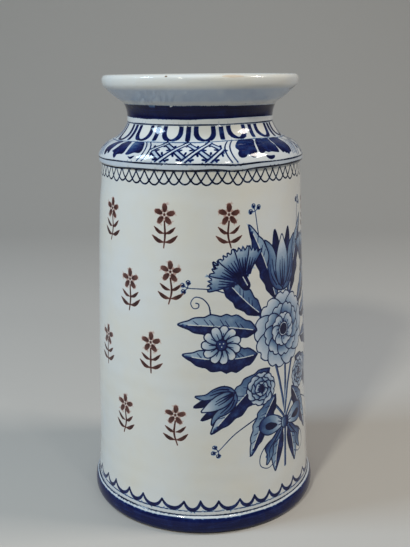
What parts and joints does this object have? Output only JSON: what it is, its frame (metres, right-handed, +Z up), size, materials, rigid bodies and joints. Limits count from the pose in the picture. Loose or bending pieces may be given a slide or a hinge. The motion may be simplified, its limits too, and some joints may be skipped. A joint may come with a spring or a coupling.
{
  "type": "mustard pot",
  "caption": "Tall round glazed earthenware jar: tapered body on a beaded foot, moulded shoulder, short neck and wide flared mouth, open at the top.",
  "frame": {"origin": "on the standing surface, at the jar's axis", "axes": "+Z up along the jar's axis, -Y towards the side that the picture faces, +X to its right"},
  "size_m": [0.1644, 0.1644, 0.3],
  "materials": {
    "tin_glaze": "glossy opaque white tin glaze over buff earthenware, faint throwing marks and pinholes",
    "painted_glaze": "glossy white tin glaze brushed with cobalt blue borders",
    "cobalt_glaze": "glossy dark cobalt blue, brushed round on the wheel, slightly streaky"
  },
  "bodies": {
    "root": {"foot_ring": "cobalt_glaze", "base_slab": "tin_glaze", "body_wall": "tin_glaze", "shoulder": "painted_glaze", "neck_collar": "cobalt_glaze", "flared_rim": "tin_glaze"}
  },
  "joints": []
}
